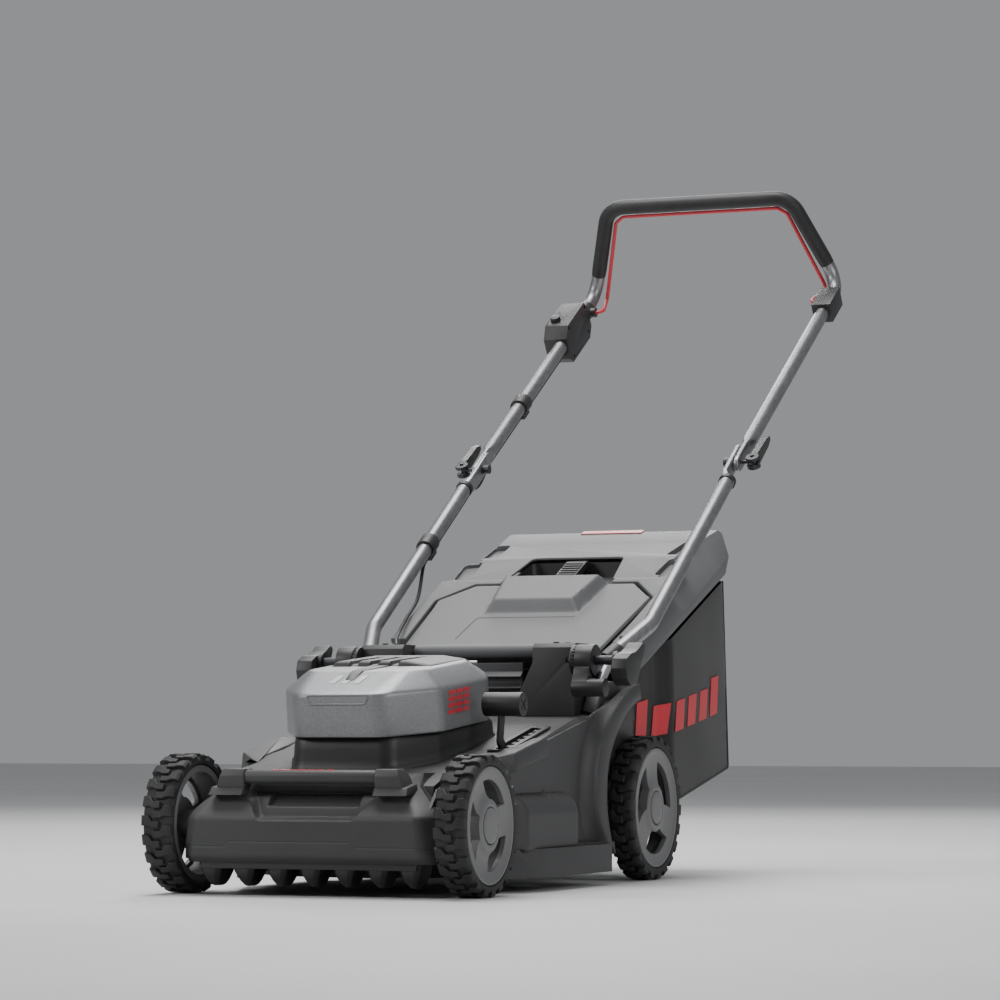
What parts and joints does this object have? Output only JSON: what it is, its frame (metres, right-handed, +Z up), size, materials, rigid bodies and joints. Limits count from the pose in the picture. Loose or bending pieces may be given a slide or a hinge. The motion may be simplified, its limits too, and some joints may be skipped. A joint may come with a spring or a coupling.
{
  "type": "cordless lawn mower",
  "caption": "Walk-behind battery rotary lawn mower with folding tube handle, switch bail, central height lever, rear flap and rear grass bag.",
  "frame": {"origin": "on the ground, on the centre plane, midway along the whole length", "axes": "+Z up, -Y towards the front of the mower, +X to the side that carries the height lever"},
  "size_m": [0.49, 1.565, 1.0732],
  "materials": {
    "charcoal_plastic": "fine-grained satin",
    "black_plastic": "satin",
    "hood_paint": "metallic flake, satin",
    "grey_plastic": "fine-grained satin",
    "wheel_grey": "satin",
    "red": "satin",
    "tyre": "moulded, matte",
    "tube_metal": "satin metallic grey",
    "steel": "zinc plated",
    "dark_steel": "black oxide",
    "copper": "enamelled wire",
    "grip_foam": "fine texture, matte",
    "cable": "matte",
    "fabric": "woven polyester"
  },
  "bodies": {
    "chassis": {"deck_shell": "charcoal_plastic", "front_shield": "charcoal_plastic", "lift_bar": "charcoal_plastic", "grass_comb": "black_plastic", "motor_neck": "black_plastic", "hood_shell": "hood_paint", "battery_bay": "black_plastic", "motor_housing": "steel", "motor_stator": "copper", "shaft_bearings": "steel", "lever_post": "dark_steel", "height_rack": "black_plastic", "handle_blocks": "charcoal_plastic", "ratchet_discs": "black_plastic", "hinge_pins": "steel", "discharge_chute": "black_plastic", "deck_screws": "dark_steel", "cable_bow": "cable"},
    "battery_door": {"battery_lid": "black_plastic"},
    "battery": {"battery_case": "black_plastic"},
    "key": {"safety_key": "red"},
    "blade": {"blade_bar": "dark_steel", "blade_holder": "dark_steel", "blade_bolt": "steel", "motor_rotor": "dark_steel"},
    "lever": {"height_arm": "black_plastic", "height_grip": "black_plastic"},
    "link": {"link_rod": "dark_steel"},
    "front_axle": {"front_crank": "dark_steel"},
    "rear_axle": {"rear_crank": "dark_steel"},
    "lower_handle": {"lower_tubes": "tube_metal", "lower_housings": "black_plastic", "handle_bolts": "steel", "tube_clips": "black_plastic", "cable_lower": "cable"},
    "fold_cam_r": {"fold_lever_r": "black_plastic"},
    "fold_cam_l": {"fold_lever_l": "black_plastic"},
    "upper_handle": {"upper_tube": "tube_metal", "grip_sleeve": "grip_foam", "switch_box": "black_plastic", "bail_bracket": "black_plastic", "upper_clip": "black_plastic", "cable_upper": "cable"},
    "mid_cam_r": {"mid_lever_r": "black_plastic"},
    "mid_cam_l": {"mid_lever_l": "black_plastic"},
    "bail": {"bail_rod": "red"},
    "button": {"start_button": "red"},
    "flap": {"rear_flap": "grey_plastic"},
    "bag": {"bag_lid": "grey_plastic", "bag_fabric": "fabric", "bag_frame": "black_plastic", "bag_handle": "black_plastic"},
    "wheel_fr": {"wheel_fr_tyre": "tyre", "wheel_fr_rim": "wheel_grey"},
    "wheel_fl": {"wheel_fl_tyre": "tyre", "wheel_fl_rim": "wheel_grey"},
    "wheel_rr": {"wheel_rr_tyre": "tyre", "wheel_rr_rim": "wheel_grey"},
    "wheel_rl": {"wheel_rl_tyre": "tyre", "wheel_rl_rim": "wheel_grey"}
  },
  "joints": [
    {"name": "height_lever", "type": "hinge", "parent": "chassis", "child": "lever", "pos_m": [0.15, -0.438, 0.134], "axis": [-1, 0, 0], "range_deg": [0, 55]},
    {"name": "front_axle_turn", "type": "hinge", "parent": "chassis", "child": "front_axle", "pos_m": [0, -0.74435, 0.06591], "axis": [-1, 0, 0], "range_deg": [0, 55]},
    {"name": "rear_axle_turn", "type": "hinge", "parent": "chassis", "child": "rear_axle", "pos_m": [0, -0.13435, 0.07691], "axis": [-1, 0, 0], "range_deg": [0, 55]},
    {"name": "link_turn", "type": "hinge", "parent": "lever", "child": "link", "pos_m": [0.16, -0.4528, 0.1624], "axis": [-1, 0, 0], "range_deg": [-55, 0]},
    {"name": "wheel_fr_spin", "type": "hinge", "parent": "front_axle", "child": "wheel_fr", "pos_m": [0.201, -0.7, 0.089], "axis": [1, 0, 0], "continuous": true},
    {"name": "wheel_fl_spin", "type": "hinge", "parent": "front_axle", "child": "wheel_fl", "pos_m": [-0.201, -0.7, 0.089], "axis": [1, 0, 0], "continuous": true},
    {"name": "wheel_rr_spin", "type": "hinge", "parent": "rear_axle", "child": "wheel_rr", "pos_m": [0.197, -0.09, 0.1], "axis": [1, 0, 0], "continuous": true},
    {"name": "wheel_rl_spin", "type": "hinge", "parent": "rear_axle", "child": "wheel_rl", "pos_m": [-0.197, -0.09, 0.1], "axis": [1, 0, 0], "continuous": true},
    {"name": "blade_spin", "type": "hinge", "parent": "chassis", "child": "blade", "pos_m": [0, -0.438, 0.06], "axis": [0, 0, 1], "continuous": true},
    {"name": "handle_fold", "type": "hinge", "parent": "chassis", "child": "lower_handle", "pos_m": [0, -0.259, 0.302], "axis": [-1, 0, 0], "range_deg": [-140, 0], "deforming": ["cable_bow"]},
    {"name": "handle_mid", "type": "hinge", "parent": "lower_handle", "child": "upper_handle", "pos_m": [0, 0.272, 0.606], "axis": [1, 0, 0], "range_deg": [0, 140]},
    {"name": "bail_pull", "type": "hinge", "parent": "upper_handle", "child": "bail", "pos_m": [0, 0.725, 0.8946], "axis": [-1, 0, 0], "range_deg": [0, 15], "stiffness_Nm_per_rad": 3},
    {"name": "start_push", "type": "slide", "parent": "upper_handle", "child": "button", "axis": [0, 0.538, -0.8429], "range_m": [0, 0.004], "stiffness_N_per_m": 600},
    {"name": "fold_cam_r_turn", "type": "hinge", "parent": "lower_handle", "child": "fold_cam_r", "pos_m": [0.235, -0.259, 0.302], "axis": [0, 0.2079, -0.9781], "range_deg": [0, 100]},
    {"name": "fold_cam_l_turn", "type": "hinge", "parent": "lower_handle", "child": "fold_cam_l", "pos_m": [-0.235, -0.259, 0.302], "axis": [0, -0.2079, 0.9781], "range_deg": [0, 100]},
    {"name": "mid_cam_r_turn", "type": "hinge", "parent": "lower_handle", "child": "mid_cam_r", "pos_m": [0.235, 0.272, 0.606], "axis": [0, 0.538, -0.8429], "range_deg": [0, 100]},
    {"name": "mid_cam_l_turn", "type": "hinge", "parent": "lower_handle", "child": "mid_cam_l", "pos_m": [-0.235, 0.272, 0.606], "axis": [0, -0.538, 0.8429], "range_deg": [0, 100]},
    {"name": "flap_lift", "type": "hinge", "parent": "chassis", "child": "flap", "pos_m": [0, -0.217, 0.316], "axis": [1, 0, 0], "range_deg": [0, 65]},
    {"name": "bag_off", "type": "slide", "parent": "chassis", "child": "bag", "axis": [0, 0.9397, 0.342], "range_m": [0, 0.22]},
    {"name": "battery_door_open", "type": "hinge", "parent": "chassis", "child": "battery_door", "pos_m": [0, -0.412, 0.297], "axis": [-1, 0, 0], "range_deg": [0, 80]},
    {"name": "battery_eject", "type": "slide", "parent": "chassis", "child": "battery", "axis": [0, 0, 1], "range_m": [0, 0.01]},
    {"name": "key_pull", "type": "slide", "parent": "chassis", "child": "key", "axis": [0, 0, 1], "range_m": [0, 0.01]}
  ],
  "couplings": [
    {"joint": "front_axle_turn", "follows": "height_lever", "ratio": 1},
    {"joint": "rear_axle_turn", "follows": "height_lever", "ratio": 1},
    {"joint": "link_turn", "follows": "height_lever", "ratio": -1}
  ]
}
